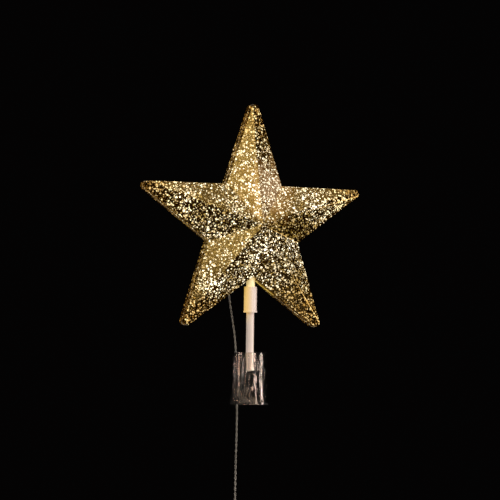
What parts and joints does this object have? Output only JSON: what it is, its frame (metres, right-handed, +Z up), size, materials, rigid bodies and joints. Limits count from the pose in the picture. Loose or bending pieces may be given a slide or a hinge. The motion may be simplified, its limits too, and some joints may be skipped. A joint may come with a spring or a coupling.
{
  "type": "christmas tree topper star",
  "caption": "Lit five-point star with faceted gold-flecked shells on a push-fit stem, with a clear holder for the tree's leading shoot and a battery box on its lead.",
  "frame": {"origin": "on the stem's axis, at the lower end of the straight wall of the holder's socket for the tree's leading shoot", "axes": "+Z up the stem to the star's upper point, star in the XZ plane, its front facing -Y"},
  "size_m": [0.1916, 0.0763, 0.411],
  "materials": {
    "fleck_gold": "clear shell, metallised inside in gold flecks with small clear gaps",
    "milky_plastic": "translucent, lit from inside",
    "white_plastic": "satin moulded",
    "clear_plastic": "clear, polished",
    "lamp_epoxy": "clear domed epoxy, warm white light",
    "lead_sheath": "clear sheath over tinned strands",
    "soft_grey": "soft moulded",
    "circuit_board": "solder mask",
    "plated_steel": "zinc plated",
    "box_plastic": "fine moulded grain",
    "switch_shell": "tinned",
    "switch_black": "satin",
    "cell_jacket": "plain printed jacket",
    "contact_metal": "nickel plated"
  },
  "bodies": {
    "holder": {"tree_holder": "clear_plastic"},
    "stem": {"stem": "white_plastic"},
    "sleeve": {"sleeve": "white_plastic"},
    "star": {"front_shell": "fleck_gold", "rear_shell": "fleck_gold", "neck_tube": "milky_plastic", "lamp_01": "lamp_epoxy", "lamp_02": "lamp_epoxy", "lamp_03": "lamp_epoxy", "lamp_04": "lamp_epoxy", "lamp_05": "lamp_epoxy", "lamp_06": "lamp_epoxy", "lamp_07": "lamp_epoxy", "lamp_08": "lamp_epoxy", "lamp_09": "lamp_epoxy", "lamp_10": "lamp_epoxy", "lamp_wire_01": "lead_sheath", "lamp_wire_02": "lead_sheath", "lamp_wire_03": "lead_sheath", "lamp_wire_04": "lead_sheath", "lamp_wire_05": "lead_sheath", "lamp_wire_06": "lead_sheath", "lamp_wire_07": "lead_sheath", "lamp_wire_08": "lead_sheath", "lamp_wire_09": "lead_sheath", "lamp_wire_10": "lead_sheath", "hub_board": "circuit_board", "hub_screws": "plated_steel", "grommet": "soft_grey", "lead_tail": "lead_sheath", "lead": "lead_sheath", "lead_boot": "soft_grey", "battery_case": "box_plastic", "switch_hatch": "box_plastic", "hatch_screws": "plated_steel", "timer_board": "circuit_board", "switch_body": "switch_shell", "cell_left": "cell_jacket", "cell_right": "cell_jacket", "contact_left": "contact_metal", "contact_right": "contact_metal", "contact_bridge": "contact_metal"},
    "cover": {"battery_cover": "box_plastic"},
    "switch": {"switch_knob": "switch_black"}
  },
  "joints": [
    {"name": "stem_pull", "type": "slide", "parent": "holder", "child": "stem", "axis": [0, 0, 1], "range_m": [0, 0.0149]},
    {"name": "star_turn", "type": "hinge", "parent": "stem", "child": "sleeve", "pos_m": [0, 0, 0.0693], "axis": [0, 0, 1], "range_deg": [-180, 180]},
    {"name": "star_pull", "type": "slide", "parent": "sleeve", "child": "star", "axis": [0, 0, 1], "range_m": [0, 0.0095]},
    {"name": "cover_slide", "type": "slide", "parent": "star", "child": "cover", "axis": [0, 0, -1], "range_m": [0, 0.055]},
    {"name": "switch_slide", "type": "slide", "parent": "star", "child": "switch", "axis": [-1, 0, 0], "range_m": [0, 0.004]}
  ]
}
